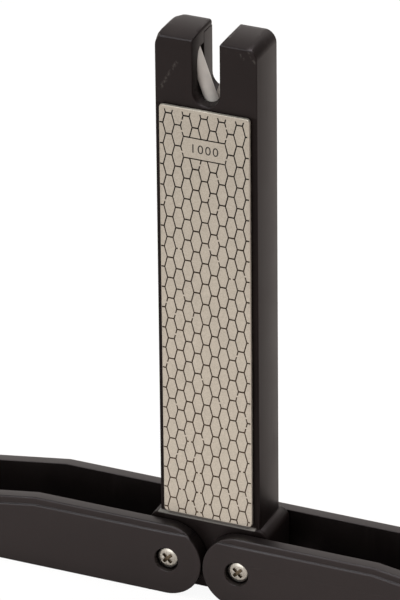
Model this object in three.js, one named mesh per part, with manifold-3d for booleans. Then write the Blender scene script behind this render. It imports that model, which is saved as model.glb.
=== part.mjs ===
// Folding diamond sharpener with two channel handles, in millimetres, +Z up, front towards -Y.
// It stands as in use on a bench: paddle upright, both handles spread flat on the floor at Z = 0.
import * as THREE from 'three';
import { mergeVertices } from 'three/addons/utils/BufferGeometryUtils.js';
import Module from 'manifold-3d';

const wasm = await Module();
wasm.setup();

// Diamond plates and the pads that bond them
const PLATE_LENGTH = 102;
const PLATE_WIDTH = 21.6;
const PLATE_THICKNESS = 0.85;
const PLATE_CORNER = 0.8;
const PLATE_EDGE = 0.15;
const PAD_THICKNESS = 0.25;
const PAD_INSET = 0.4;

// Paddle
const PADDLE_RIM = 1.37;
const PADDLE_THICKNESS = 11.4;
const PADDLE_EDGE = 0.35;
const HEAD_CORNER = 3.1;
const HEAD_SLOPE = 0.5;
const HEAD_CROWN = 0.1;
const PLATE_OVER_LEDGE = 0.77;
const LEDGE_OVER_PIVOT = 9.65;
const TANG_EDGE = 0.3;
const TANG_SHOULDER = 2.2;
const TANG_CORNER = 2.4;

// Notch, its crossed bars and the retainer behind them
const NOTCH_WIDTH = 6.5;
const NOTCH_LIP = 0.9;
const NOTCH_DEPTH = 16.1;
const NOTCH_OVER_PLATE = 0.6;
const BAR_LEAN = THREE.MathUtils.degToRad(19.6);
const BAR_RADIUS = 1.5;
const BAR_OVER_FLOOR = 2.5;
const BAR_FOOT = 4;
const BAR_SEAT = 2.4;
const BAR_SETBACK = 3.2;
const BAR_CLEARANCE = 0.2;
const BAR_CHAMFER = 0.3;
const BAR_SPACING = 0.1;
const RETAINER_SETBACK = 0.6;
const RETAINER_ARM = 6;
const RETAINER_FOOT = 5;
const RETAINER_RIM = 0.9;
const RETAINER_CORNER = 1;
const RETAINER_CLEARANCE = 0.15;

// Handles
const HANDLE_HEIGHT = 17;
const HANDLE_GAP = 0.3;
const HANDLE_EDGE = 0.45;
const CHEEK_WALL = 2.9;
const WEB_WALL = 2.2;
const END_WALL = 2.4;
const FOLD_CLEARANCE = 0.36;
const TIP_CLEARANCE = 1.6;
const TIP_CORNER = 4.5;
const CHANNEL_CORNER = 2;
const SHOULDER_LENGTH = 33.2;
const TAPER_ANGLE = THREE.MathUtils.degToRad(8.5);
const TAPER_DROP = 4.7;
const PANEL_RISE = 0.35;
const PANEL_INSET = 1.7;
const PANEL_EDGE = 0.4;
const PANEL_DRAFT = Math.tan(THREE.MathUtils.degToRad(3.3));
const PANEL_TURN = THREE.MathUtils.degToRad(125);
const TANG_SETBACK = 0.9;
const WEB_CLEARANCE = 0.5;

// Pivots
const SCREW_RADIUS = 1.45;
const SCREW_HEAD_RADIUS = 2.45;
const SCREW_HEAD_HEIGHT = 1.4;
const SCREW_HEAD_DOME = 0.4;
const SCREW_HEAD_CROWN = 1.7;
const SCREW_CROWN_DROP = 0.12;
const SCREW_SLOT_LENGTH = 2.8;
const SCREW_SLOT_WIDTH = 0.75;
const SCREW_SLOT_DEPTH = 0.8;
const SCREW_CLEARANCE = 0.3;
const DISH_MARGIN = 0.2;
const DISH_FLARE = 0.2;
const DISH_WALL = 1.75;
const NUT_FLATS = 5.4;
const NUT_HEIGHT = 1.6;
const NUT_WALL = 1.5;
const NUT_CLEARANCE = 0.25;
const NUT_BORE_CLEARANCE = 0.15;
const NUT_CHAMFER = 0.3;
const NUT_CHAMFER_REACH = 0.6;
const BUSH_WALL = 0.65;
const BUSH_CLEARANCE = 0.25;
const WASHER_WIDTH = 2.8;
const WASHER_THICKNESS = 0.3;
const RUNNING_GAP = 0.12;

// Drawing accuracy
const ARC_DEVIATION = 0.02;
const EDGE_STEPS = 2;
const SNAP = 1e-4;
const CUT_MARGIN = 2;
const HALF_TURN = Math.PI;
const QUARTER_TURN = Math.PI / 2;
const HEXAGON = 6;

// Places that follow from the sizes above
const EAR_RADIUS = HANDLE_HEIGHT / 2;
const PIVOT_X = EAR_RADIUS + HANDLE_GAP / 2;
const PIVOT_Z = EAR_RADIUS;
const PADDLE_HALF = PLATE_WIDTH / 2 + PADDLE_RIM;
const PADDLE_FACE = PADDLE_THICKNESS / 2;
const PLATE_BACK = PADDLE_FACE + PAD_THICKNESS;
const PLATE_FACE = PLATE_BACK + PLATE_THICKNESS;
const LEDGE_Z = PIVOT_Z + LEDGE_OVER_PIVOT;
const PLATE_FOOT_Z = LEDGE_Z + PLATE_OVER_LEDGE;
const PLATE_TOP_Z = PLATE_FOOT_Z + PLATE_LENGTH;
const NOTCH_FLOOR_Z = PLATE_TOP_Z + NOTCH_OVER_PLATE;
const BAR_CROSSING_Z = NOTCH_FLOOR_Z + BAR_OVER_FLOOR;
const BAR_REACH = NOTCH_WIDTH / 2 / Math.sin(BAR_LEAN);
const HEAD_TOP_Z = NOTCH_FLOOR_Z + NOTCH_DEPTH;
const BAR_LENGTH = BAR_FOOT + BAR_REACH + BAR_SEAT;
const LEFT_BAR_Y = -PADDLE_FACE + BAR_SETBACK + BAR_RADIUS;
const RIGHT_BAR_Y = LEFT_BAR_Y + 2 * BAR_RADIUS + BAR_SPACING;
const RETAINER_FRONT = LEFT_BAR_Y + BAR_RADIUS + RETAINER_SETBACK;
const RETAINER_HALF = NOTCH_WIDTH / 2 + RETAINER_ARM;
const RETAINER_FOOT_Z = NOTCH_FLOOR_Z - RETAINER_FOOT;
const RETAINER_TOP_Z = HEAD_TOP_Z - HEAD_CROWN - HEAD_SLOPE - RETAINER_RIM;
const CHEEK_INNER = PLATE_FACE + FOLD_CLEARANCE;
const CHEEK_OUTER = CHEEK_INNER + CHEEK_WALL;
const PANEL_FACE = CHEEK_OUTER + PANEL_RISE;
const TANG_FACE = CHEEK_INNER - WASHER_THICKNESS - 2 * RUNNING_GAP;
const TANG_RADIUS = EAR_RADIUS - TANG_SETBACK;
const TANG_HALF = PADDLE_HALF + TANG_SHOULDER;
const WEB_START = TANG_RADIUS + WEB_CLEARANCE;
const CHANNEL_END = HEAD_TOP_Z - PIVOT_Z + TIP_CLEARANCE;
const HANDLE_REACH = CHANNEL_END + END_WALL;
const TAPER_END = SHOULDER_LENGTH + TAPER_DROP / Math.tan(TAPER_ANGLE);
const BUSH_BORE = SCREW_RADIUS + SCREW_CLEARANCE;
const BUSH_RADIUS = BUSH_BORE + BUSH_WALL;
const PIVOT_BORE = BUSH_RADIUS + BUSH_CLEARANCE;
const DISH_FLOOR = CHEEK_INNER + DISH_WALL;
const NUT_FLOOR = CHEEK_INNER + NUT_WALL;
const NUT_TOP = NUT_FLOOR + NUT_HEIGHT;

// Shapes and solids

function stepAngle(radius) {
  return 2 * Math.acos(1 - ARC_DEVIATION / radius);
}

function turnSteps(radius) {
  return 4 * Math.ceil(QUARTER_TURN / stepAngle(radius));
}

// Draws an arc into a shape as short lines that stay within the deviation.
function arc(shape, x, z, radius, from, to) {
  const steps = Math.ceil(Math.abs(to - from) / stepAngle(radius));
  for (let step = 0; step <= steps; step += 1) {
    const angle = from + (to - from) * step / steps;
    shape.lineTo(x + radius * Math.cos(angle), z + radius * Math.sin(angle));
  }
}

function roundedRectangle(left, foot, right, top, corner) {
  const shape = new THREE.Shape();
  shape.moveTo(left + corner, foot);
  arc(shape, right - corner, foot + corner, corner, -QUARTER_TURN, 0);
  arc(shape, right - corner, top - corner, corner, 0, QUARTER_TURN);
  arc(shape, left + corner, top - corner, corner, QUARTER_TURN, HALF_TURN);
  arc(shape, left + corner, foot + corner, corner, HALF_TURN, HALF_TURN + QUARTER_TURN);
  return shape;
}

// Extrudes a shape drawn in X and Z along Y, with the edges of both end faces rounded off.
function slab(shape, front, rear, edge = 0) {
  const geometry = new THREE.ExtrudeGeometry(shape, {
    depth: rear - front - 2 * edge,
    bevelEnabled: edge > 0,
    bevelThickness: edge,
    bevelSize: edge,
    bevelOffset: -edge,
    bevelSegments: EDGE_STEPS,
  });
  return geometry.rotateX(QUARTER_TURN).translate(0, rear - edge, 0);
}

// Revolves a profile of [radius, Y] points about the Y axis, which is the direction of the pivots.
function turned(profile) {
  const points = profile.map(([radius, y]) => new THREE.Vector2(radius, y));
  const widest = Math.max(...profile.map(([radius]) => radius));
  return new THREE.LatheGeometry(points, turnSteps(widest));
}

function ring(bore, radius, front, rear) {
  return turned([[bore, front], [radius, front], [radius, rear], [bore, rear], [bore, front]]);
}

function rod(radius, front, rear, sides = turnSteps(radius)) {
  const geometry = new THREE.CylinderGeometry(radius, radius, rear - front, sides);
  return geometry.translate(0, (front + rear) / 2, 0);
}

// Turns a closed geometry into a solid for joins and cuts, with its points snapped to a fine grid.
function solidOf(geometry) {
  geometry.deleteAttribute('normal');
  geometry.deleteAttribute('uv');
  const position = geometry.attributes.position;
  position.array = position.array.map((value) => Math.round(value / SNAP) * SNAP);
  const merged = mergeVertices(geometry, SNAP / 2);
  return new wasm.Manifold(new wasm.Mesh({
    numProp: 3,
    vertProperties: merged.attributes.position.array,
    triVerts: new Uint32Array(merged.index.array),
  }));
}

function geometryOf(solid) {
  const mesh = solid.getMesh();
  const geometry = new THREE.BufferGeometry();
  geometry.setAttribute('position', new THREE.BufferAttribute(mesh.vertProperties, 3));
  geometry.setIndex(new THREE.BufferAttribute(mesh.triVerts, 1));
  geometry.computeVertexNormals();
  return geometry;
}

// Paddle

// Outline of the paddle from its foot inside the tang to the two prongs, with the notch between them.
function paddleShape() {
  const half = NOTCH_WIDTH / 2;
  const lipZ = HEAD_TOP_Z - NOTCH_LIP;
  const cornerX = PADDLE_HALF - HEAD_CORNER;
  const cornerZ = HEAD_TOP_Z - HEAD_CORNER;
  const shape = new THREE.Shape();
  shape.moveTo(PADDLE_HALF, PIVOT_Z);
  arc(shape, cornerX, cornerZ, HEAD_CORNER, 0, QUARTER_TURN);
  arc(shape, half + NOTCH_LIP, lipZ, NOTCH_LIP, QUARTER_TURN, HALF_TURN);
  arc(shape, 0, NOTCH_FLOOR_Z + half, half, 0, -HALF_TURN);
  arc(shape, -half - NOTCH_LIP, lipZ, NOTCH_LIP, 0, QUARTER_TURN);
  arc(shape, -cornerX, cornerZ, HEAD_CORNER, QUARTER_TURN, HALF_TURN);
  shape.lineTo(-PADDLE_HALF, PIVOT_Z);
  return shape;
}

// Side view of the paddle: flat faces, rounded top edges and a crowned top face that falls to the front.
function crownBlock() {
  const face = PADDLE_FACE;
  const rearZ = HEAD_TOP_Z - HEAD_CROWN;
  const frontZ = rearZ - HEAD_SLOPE;
  const footZ = PIVOT_Z - CUT_MARGIN;
  const width = 2 * (PADDLE_HALF + CUT_MARGIN);
  const shape = new THREE.Shape();
  shape.moveTo(-face - CUT_MARGIN, footZ);
  shape.lineTo(face + CUT_MARGIN, footZ);
  shape.lineTo(face + CUT_MARGIN, rearZ - PADDLE_EDGE);
  shape.lineTo(face, rearZ - PADDLE_EDGE);
  shape.lineTo(face - PADDLE_EDGE, rearZ);
  shape.quadraticCurveTo(0, HEAD_TOP_Z, PADDLE_EDGE - face, frontZ);
  shape.lineTo(-face, frontZ - PADDLE_EDGE);
  shape.lineTo(-face - CUT_MARGIN, frontZ - PADDLE_EDGE);
  const geometry = new THREE.ExtrudeGeometry(shape, { depth: width, bevelEnabled: false });
  return geometry.translate(0, 0, -width / 2).rotateX(QUARTER_TURN).rotateZ(QUARTER_TURN);
}

// Two bosses on the pivots with flat outer sides, joined below by a flat and above by the ledge.
function tangShape() {
  const side = Math.acos((TANG_HALF - PIVOT_X) / TANG_RADIUS);
  const cornerX = TANG_HALF - TANG_CORNER;
  const cornerZ = LEDGE_Z - TANG_CORNER;
  const shape = new THREE.Shape();
  shape.moveTo(0, LEDGE_Z);
  arc(shape, -cornerX, cornerZ, TANG_CORNER, QUARTER_TURN, HALF_TURN);
  arc(shape, -PIVOT_X, PIVOT_Z, TANG_RADIUS, HALF_TURN + side, HALF_TURN + QUARTER_TURN);
  arc(shape, PIVOT_X, PIVOT_Z, TANG_RADIUS, -QUARTER_TURN, -side);
  arc(shape, cornerX, cornerZ, TANG_CORNER, 0, QUARTER_TURN);
  return shape;
}

// Stands a piece drawn about a bar's axis at its slant. Side is -1 for the left bar and 1 for the right.
// The working line of each bar starts at the crossing point on the middle plane and leans to its own side.
function slanted(side, geometry) {
  geometry.translate(side * BAR_RADIUS, 0, 0).rotateY(side * BAR_LEAN);
  return solidOf(geometry.translate(0, side < 0 ? LEFT_BAR_Y : RIGHT_BAR_Y, BAR_CROSSING_Z));
}

// One round bar of the notch, or with a clearance the room for it.
function bar(side, clearance = 0) {
  const radius = BAR_RADIUS + clearance;
  const foot = -BAR_FOOT - clearance;
  const top = foot + BAR_LENGTH + 2 * clearance;
  const blank = turned([
    [0, foot],
    [radius - BAR_CHAMFER, foot],
    [radius, foot + BAR_CHAMFER],
    [radius, top - BAR_CHAMFER],
    [radius - BAR_CHAMFER, top],
    [0, top],
  ]);
  return slanted(side, blank.rotateX(QUARTER_TURN));
}

// The way into a bar's room from behind or, with a negative depth, from the front.
function barSlot(side, depth) {
  const length = BAR_LENGTH + 2 * BAR_CLEARANCE;
  const slot = new THREE.BoxGeometry(2 * (BAR_RADIUS + BAR_CLEARANCE), Math.abs(depth), length);
  return slanted(side, slot.translate(0, depth / 2, length / 2 - BAR_FOOT - BAR_CLEARANCE));
}

function retainerPocket() {
  const half = RETAINER_HALF + RETAINER_CLEARANCE;
  const foot = RETAINER_FOOT_Z - RETAINER_CLEARANCE;
  const top = RETAINER_TOP_Z + RETAINER_CLEARANCE;
  const outline = roundedRectangle(-half, foot, half, top, RETAINER_CORNER + RETAINER_CLEARANCE);
  return solidOf(slab(outline, RETAINER_FRONT, PADDLE_FACE + CUT_MARGIN));
}

function paddleBody() {
  let body = solidOf(slab(paddleShape(), -PADDLE_FACE, PADDLE_FACE, PADDLE_EDGE));
  body = body.intersect(solidOf(crownBlock()));
  body = body.add(solidOf(slab(tangShape(), -TANG_FACE, TANG_FACE, TANG_EDGE)));
  body = body.subtract(retainerPocket());
  body = body.subtract(bar(-1, BAR_CLEARANCE)).subtract(bar(1, BAR_CLEARANCE));
  body = body.subtract(barSlot(-1, RETAINER_FRONT - LEFT_BAR_Y + CUT_MARGIN));
  for (const side of [-1, 1]) {
    const bore = rod(PIVOT_BORE, -TANG_FACE - CUT_MARGIN, TANG_FACE + CUT_MARGIN);
    body = body.subtract(solidOf(bore.translate(side * PIVOT_X, 0, PIVOT_Z)));
  }
  return body;
}

// A U that closes the rear of the notch head: two arms beside the notch on a foot that the plate covers.
// It slides on from behind and takes the rear half of the right bar in a groove.
function notchRetainer() {
  const half = NOTCH_WIDTH / 2;
  const corner = RETAINER_CORNER;
  const cornerX = RETAINER_HALF - corner;
  const shape = new THREE.Shape();
  shape.moveTo(RETAINER_HALF, RETAINER_FOOT_Z + corner);
  arc(shape, cornerX, RETAINER_TOP_Z - corner, corner, 0, QUARTER_TURN);
  shape.lineTo(half, RETAINER_TOP_Z);
  arc(shape, 0, NOTCH_FLOOR_Z + half, half, 0, -HALF_TURN);
  shape.lineTo(-half, RETAINER_TOP_Z);
  arc(shape, -cornerX, RETAINER_TOP_Z - corner, corner, QUARTER_TURN, HALF_TURN);
  arc(shape, -cornerX, RETAINER_FOOT_Z + corner, corner, HALF_TURN, HALF_TURN + QUARTER_TURN);
  arc(shape, cornerX, RETAINER_FOOT_Z + corner, corner, -QUARTER_TURN, 0);
  const blank = solidOf(slab(shape, RETAINER_FRONT, PADDLE_FACE));
  const groove = bar(1, BAR_CLEARANCE).add(barSlot(1, RETAINER_FRONT - RIGHT_BAR_Y - CUT_MARGIN));
  return blank.subtract(groove);
}

// Plate or pad on one face of the paddle. Side is -1 for the front and 1 for the rear.
function sheet(side, back, face, inset, edge) {
  const half = PLATE_WIDTH / 2 - inset;
  const outline = roundedRectangle(-half, PLATE_FOOT_Z + inset, half, PLATE_TOP_Z - inset, PLATE_CORNER);
  const [front, rear] = side < 0 ? [-face, -back] : [back, face];
  return solidOf(slab(outline, front, rear, edge));
}

// Handles, drawn about their pivot with the tip towards +X and the channel open at the top

// Side view of a handle: round ear, shoulder, taper and round tip. An inset lowers its top edge, and the
// ear's curve then starts at the given turn, where the lowered edge runs out into it.
function handleShape(inset = 0, turn = QUARTER_TURN) {
  const top = EAR_RADIUS - inset;
  const lowTop = top - TAPER_DROP;
  const cornerX = HANDLE_REACH - TIP_CORNER;
  const bendShift = inset * Math.tan(TAPER_ANGLE / 2);
  const shape = new THREE.Shape();
  shape.moveTo(0, top);
  arc(shape, 0, 0, EAR_RADIUS, turn, HALF_TURN + QUARTER_TURN);
  arc(shape, cornerX, TIP_CORNER - EAR_RADIUS, TIP_CORNER, -QUARTER_TURN, 0);
  arc(shape, cornerX, lowTop - TIP_CORNER, TIP_CORNER, 0, QUARTER_TURN);
  shape.lineTo(TAPER_END - bendShift, lowTop);
  shape.lineTo(SHOULDER_LENGTH - bendShift, top);
  return shape;
}

// The raised panels of both cheeks as one block that grows thicker towards the foot by the mould's draft.
function panelBlock() {
  const geometry = slab(handleShape(PANEL_INSET, PANEL_TURN), -PANEL_FACE, PANEL_FACE, PANEL_EDGE);
  const position = geometry.attributes.position;
  for (let index = 0; index < position.count; index += 1) {
    const y = position.getY(index);
    position.setY(index, y + Math.sign(y) * PANEL_DRAFT * (EAR_RADIUS - position.getZ(index)));
  }
  return geometry;
}

// The space between the cheeks, which stops at the web and at the end wall and clears the tang.
function channelBlock() {
  const back = -EAR_RADIUS - CUT_MARGIN;
  const top = EAR_RADIUS + CUT_MARGIN;
  const floor = WEB_WALL - EAR_RADIUS;
  const shape = new THREE.Shape();
  shape.moveTo(back, top);
  shape.lineTo(back, -top);
  shape.lineTo(WEB_START, -top);
  shape.lineTo(WEB_START, floor);
  arc(shape, CHANNEL_END - CHANNEL_CORNER, floor + CHANNEL_CORNER, CHANNEL_CORNER, -QUARTER_TURN, 0);
  shape.lineTo(CHANNEL_END, top);
  return slab(shape, -CHEEK_INNER, CHEEK_INNER);
}

// Shallow dish with sloping sides that takes the screw head, open towards +Y.
function screwDish() {
  const foot = SCREW_HEAD_RADIUS + DISH_MARGIN;
  const mouth = PANEL_FACE + CUT_MARGIN;
  const flare = DISH_FLARE * (mouth - DISH_FLOOR) / (PANEL_FACE - DISH_FLOOR);
  return turned([[0, DISH_FLOOR], [foot, DISH_FLOOR], [foot + flare, mouth], [0, mouth]]);
}

// Front is the sign of the Y side that carries the screw head; the nut goes into the other side.
function handle(front) {
  const dish = screwDish().rotateZ(front > 0 ? 0 : HALF_TURN);
  const pocket = rod(NUT_FLATS / Math.sqrt(3) + NUT_CLEARANCE, NUT_FLOOR, PANEL_FACE + CUT_MARGIN, HEXAGON);
  pocket.rotateZ(front > 0 ? HALF_TURN : 0);
  let body = solidOf(slab(handleShape(), -CHEEK_OUTER, CHEEK_OUTER, HANDLE_EDGE));
  body = body.add(solidOf(panelBlock()));
  body = body.subtract(solidOf(channelBlock()));
  body = body.subtract(solidOf(rod(SCREW_RADIUS + SCREW_CLEARANCE, -PANEL_FACE, PANEL_FACE)));
  return body.subtract(solidOf(dish)).subtract(solidOf(pocket));
}

// Pivot pieces, drawn about their pivot with the screw head towards -Y

function pivotScrew() {
  const crown = -DISH_FLOOR - SCREW_HEAD_HEIGHT;
  const blank = turned([
    [0, crown],
    [SCREW_HEAD_CROWN, crown + SCREW_CROWN_DROP],
    [SCREW_HEAD_RADIUS, crown + SCREW_HEAD_DOME],
    [SCREW_HEAD_RADIUS, -DISH_FLOOR],
    [SCREW_RADIUS, -DISH_FLOOR],
    [SCREW_RADIUS, NUT_TOP],
    [0, NUT_TOP],
  ]);
  let screw = solidOf(blank);
  for (const turn of [-1, 1]) {
    const slot = new THREE.BoxGeometry(SCREW_SLOT_LENGTH, 2 * SCREW_SLOT_DEPTH, SCREW_SLOT_WIDTH);
    screw = screw.subtract(solidOf(slot.rotateY(turn * QUARTER_TURN / 2).translate(0, crown, 0)));
  }
  return screw;
}

function pivotNut() {
  const corner = NUT_FLATS / Math.sqrt(3);
  const slope = NUT_CHAMFER / NUT_CHAMFER_REACH;
  const bevel = turned([
    [0, NUT_FLOOR - CUT_MARGIN],
    [corner + CUT_MARGIN, NUT_FLOOR - CUT_MARGIN],
    [corner + CUT_MARGIN, NUT_TOP - NUT_CHAMFER - CUT_MARGIN * slope],
    [corner - NUT_CHAMFER_REACH, NUT_TOP],
    [0, NUT_TOP],
  ]);
  const bore = rod(SCREW_RADIUS + NUT_BORE_CLEARANCE, NUT_FLOOR - CUT_MARGIN, NUT_TOP + CUT_MARGIN);
  const blank = solidOf(rod(corner, NUT_FLOOR, NUT_TOP, HEXAGON));
  return blank.intersect(solidOf(bevel)).subtract(solidOf(bore));
}

function pivotBush() {
  const end = CHEEK_INNER - RUNNING_GAP;
  return solidOf(ring(BUSH_BORE, BUSH_RADIUS, -end, end));
}

function washer(side) {
  const near = TANG_FACE + RUNNING_GAP;
  const far = near + WASHER_THICKNESS;
  const [front, rear] = side < 0 ? [-far, -near] : [near, far];
  return solidOf(ring(PIVOT_BORE, PIVOT_BORE + WASHER_WIDTH, front, rear));
}

// Materials and assembly

const finish = {
  blackPlastic: { color: 0x2e2a29, roughness: 0.45, metalness: 0 },
  diamondPlate: { color: 0xaca192, roughness: 0.5, metalness: 0.6 },
  adhesive: { color: 0xd8d2c2, roughness: 0.8, metalness: 0 },
  ceramic: { color: 0xe4e0d6, roughness: 0.6, metalness: 0 },
  nickel: { color: 0xc8c6c2, roughness: 0.25, metalness: 1 },
  nylon: { color: 0x3a3836, roughness: 0.6, metalness: 0 },
};

function piece(name, solid, look) {
  const mesh = new THREE.Mesh(geometryOf(solid), new THREE.MeshStandardMaterial(look));
  mesh.name = name;
  return mesh;
}

const sharpener = new THREE.Group();
const paddle = new THREE.Group();
paddle.add(
  piece('paddle_body', paddleBody(), finish.blackPlastic),
  piece('notch_retainer', notchRetainer(), finish.blackPlastic),
  piece('left_ceramic_bar', bar(-1), finish.ceramic),
  piece('right_ceramic_bar', bar(1), finish.ceramic),
);
for (const [name, side] of [['front', -1], ['rear', 1]]) {
  paddle.add(
    piece(`${name}_adhesive_pad`, sheet(side, PADDLE_FACE, PLATE_BACK, PAD_INSET, 0), finish.adhesive),
    piece(`${name}_diamond_plate`, sheet(side, PLATE_BACK, PLATE_FACE, 0, PLATE_EDGE), finish.diamondPlate),
  );
}
sharpener.add(paddle);

for (const [name, side] of [['left', -1], ['right', 1]]) {
  const pivot = new THREE.Group();
  pivot.position.set(side * PIVOT_X, 0, PIVOT_Z);
  const channel = piece(`${name}_handle`, handle(-side), finish.blackPlastic);
  channel.rotation.z = side > 0 ? 0 : HALF_TURN;
  pivot.add(
    channel,
    piece(`${name}_pivot_screw`, pivotScrew(), finish.nickel),
    piece(`${name}_pivot_nut`, pivotNut(), finish.nickel),
    piece(`${name}_pivot_bush`, pivotBush(), finish.nickel),
    piece(`${name}_front_washer`, washer(-1), finish.nylon),
    piece(`${name}_rear_washer`, washer(1), finish.nylon),
  );
  sharpener.add(pivot);
}

export default sharpener;
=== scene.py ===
"""Dresses the solids of a folding diamond sharpener and lights it in a white studio."""

import math

import bmesh
import bpy
from bpy.props import (
    BoolProperty,
    FloatProperty,
    FloatVectorProperty,
    IntProperty,
    PointerProperty,
    StringProperty,
)
from bpy.types import NodeSocket, Operator, Panel, PropertyGroup
from mathutils import Euler, Matrix, Vector


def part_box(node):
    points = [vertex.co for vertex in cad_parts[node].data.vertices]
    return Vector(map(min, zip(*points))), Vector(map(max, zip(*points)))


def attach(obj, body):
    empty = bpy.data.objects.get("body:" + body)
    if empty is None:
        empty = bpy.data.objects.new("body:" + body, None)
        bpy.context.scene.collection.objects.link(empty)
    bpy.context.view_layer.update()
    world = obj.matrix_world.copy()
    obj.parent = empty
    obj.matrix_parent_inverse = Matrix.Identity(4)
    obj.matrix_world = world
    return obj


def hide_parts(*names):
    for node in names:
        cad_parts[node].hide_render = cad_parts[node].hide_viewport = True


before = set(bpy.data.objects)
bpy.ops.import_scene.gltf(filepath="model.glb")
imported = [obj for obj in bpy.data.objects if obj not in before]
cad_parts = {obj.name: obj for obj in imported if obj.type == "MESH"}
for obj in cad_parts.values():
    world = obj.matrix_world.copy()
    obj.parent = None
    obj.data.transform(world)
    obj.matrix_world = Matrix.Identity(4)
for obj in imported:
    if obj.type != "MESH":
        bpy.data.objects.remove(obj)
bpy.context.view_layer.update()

bl_info = {
    "name": "Folding Diamond Sharpener",
    "version": (1, 0, 0),
    "blender": (4, 5, 0),
    "location": "View3D > Sidebar > Sharpener",
    "description": "Dresses the solids of a folding diamond sharpener and lights it",
    "category": "Object",
}

MILLIMETRE = 0.001

# Mesh clean-up: what counts as one point, as flat, as sharp and as a crease
MERGE_GAP = 2e-6
FLAT_ANGLE = math.radians(0.05)
SHARP_ANGLE = math.radians(55)
CREASE_ANGLE = math.radians(50)
# Rounded edges: the longest edge that is left sharp, and the facets of a rounding
SHORT_EDGE = 0.4 * MILLIMETRE
ROUND_STEPS = 2

# Head of the paddle: the radius of its outer corners, and the chamfer at their ends
HEAD_CORNER = 3.1 * MILLIMETRE
HEAD_EDGE = 0.35 * MILLIMETRE
# Left corner: how much smaller its radius is at mid thickness, how evenly, and in how many steps
LEFT_SWELL = 1.6 * MILLIMETRE
SWELL_POWER = 6
CORNER_CUTS = 8
# Parts of a face's normal that tell a corner from a side and the crowned top from a corner
CORNER_LEAN = 0.02
CROWN_UP = 0.99
CROWN_CUTS = (-9.3 * MILLIMETRE, -4.4 * MILLIMETRE, 4.4 * MILLIMETRE, 9.3 * MILLIMETRE)

# Black plastic: clouds and grains per metre, rubbed streaks, tones, and height of the grain
CLOUD_SCALE = 75.0
CLOUD_TONES = (0.8, 1.2)
CLOUD_ROUGHNESS = 0.03
STREAK_STRETCH = (900.0, 900.0, 60.0)
STREAK_RANGE = (0.62, 0.74)
STREAK_MOST = 0.35
STREAK_TONE = 2.4
STREAK_ROUGHNESS = 0.2
GRAIN_SCALE = 2600.0
GRAIN_STRENGTH = 0.25
GRAIN_HEIGHT = 0.03 * MILLIMETRE

# Scuffs on the paddle's front: start and end, across and up, half the width, and strength
SCUFFS = (
    ((-10.9, 124.2), (-6.9, 131.2), 0.55, 0.16),
    ((10.3, 136.5), (11.7, 134.3), 0.4, 0.16),
    ((8.2, 135.9), (9.1, 134.8), 0.45, 0.16),
)
# Painted highlight along the ledge's front edge: start and end, across and up, half the width, and
# strength
LEDGE_HIGHLIGHT = ((-12.3, 18.15), (11.2, 18.15), 0.32, 0.5)
SCUFF_SCALE = 1400.0
SCUFF_RANGE = (0.46, 0.66)

# Painted shade on the narrow borders beside the plates: distance from mid thickness, and the share
# of the reflections that is left there
BORDER_DEPTH = 5.586 * MILLIMETRE
BORDER_SHADE = 0.4

# Bulge of the paddle's sides: its highest place from front to rear, and how far it falls off
BULGE_CENTRE = 2.1 * MILLIMETRE
BULGE_REACH = 5.7 * MILLIMETRE

# Abrasive coating: grains and clouds per metre, the grains' share in the tones, gloss and height
GRIT_SCALE = 5200.0
GRIT_SHARE = 0.6
GRIT_STRENGTH = 0.3
GRIT_HEIGHT = 0.04 * MILLIMETRE
COATING_CLOUDS = 160.0
COATING_TONES = (0.84, 1.16)
COATING_ROUGHNESS = (0.38, 0.6)
COATING_METAL = 0.8

# Small pieces: clouds per metre, contrast, roughness, share of metal and strength of the grain
GROOVE_LOOK = {"scale": 700.0, "contrast": 0.35, "roughness": 0.6}
PRINT_LOOK = {"scale": 900.0, "contrast": 0.3, "roughness": 0.7}
FOAM_LOOK = {"scale": 1400.0, "contrast": 0.2, "roughness": 0.85, "bump": 0.4}
CERAMIC_LOOK = {"scale": 500.0, "contrast": 0.06, "roughness": 0.5, "bump": 0.15}
NICKEL_LOOK = {"scale": 1500.0, "contrast": 0.12, "roughness": 0.3, "metallic": 1.0, "bump": 0.08}
# Painted shade in the screws' cross recesses
RECESS_SHADE_LOOK = {"scale": 1500.0, "contrast": 0.2, "roughness": 0.4, "metallic": 1.0, "bump": 0.1}
NYLON_LOOK = {"scale": 800.0, "contrast": 0.12, "roughness": 0.5}
GROOVE_GLOSS = 0.1
ROUGHNESS_SHARES = (0.85, 1.15)
FINER_GRAIN = 12
FINER_HEIGHT = 0.02 * MILLIMETRE

# Painted light and shade: share of their colour that coating, bars and cell lines show at the foot
# and at the top
COATING_LIGHT_SHARES = (1.1, 0.85)
CERAMIC_LIGHT_SHARES = (1.12, 0.66)
GROOVE_LIGHT_SHARES = (8.0, 0.2)

# Cross recess of a screw: its share of the head's radius, its least depth and its greatest
RECESS_SHARE = 0.62
RECESS_DEPTH = 0.14 * MILLIMETRE
RECESS_FLOOR = 1.0 * MILLIMETRE

# Cell pattern of a plate, drawn flat: X across, Y up from the foot, Z out of the face
HEXAGON = 6
EVEN_COLUMNS = 5
ODD_COLUMNS = 6
CELL_ROWS = 22
CELL_TAPER = 0.985
CELL_LEAST = (0.975, 0.988, 1.0)
CELL_MOST = (1.0, 1.0, 1.0)
CUTTER_RISE = 0.1 * MILLIMETRE
TOOL_HEIGHT = 0.6 * MILLIMETRE
BRIDGE_SIZE = (0.5 * MILLIMETRE, 0.42 * MILLIMETRE, TOOL_HEIGHT)
FRONT_TURN = (math.pi / 2, 0.0, 0.0)
REAR_TURN = (math.pi / 2, 0.0, math.pi)
# Faces of the lines: just over half the field from its middle, and shares of the lines' depth
FIELD_HALF = 0.501
LINE_LEAST = 0.1
LINE_MOST = 1.5

# Number: its window's width in column steps, rows down to its middle, and letter spacing
WINDOW_STEPS = 14 / 3
WINDOW_DROP = 1.5
NUMBER_SPACING = 1.2

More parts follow.
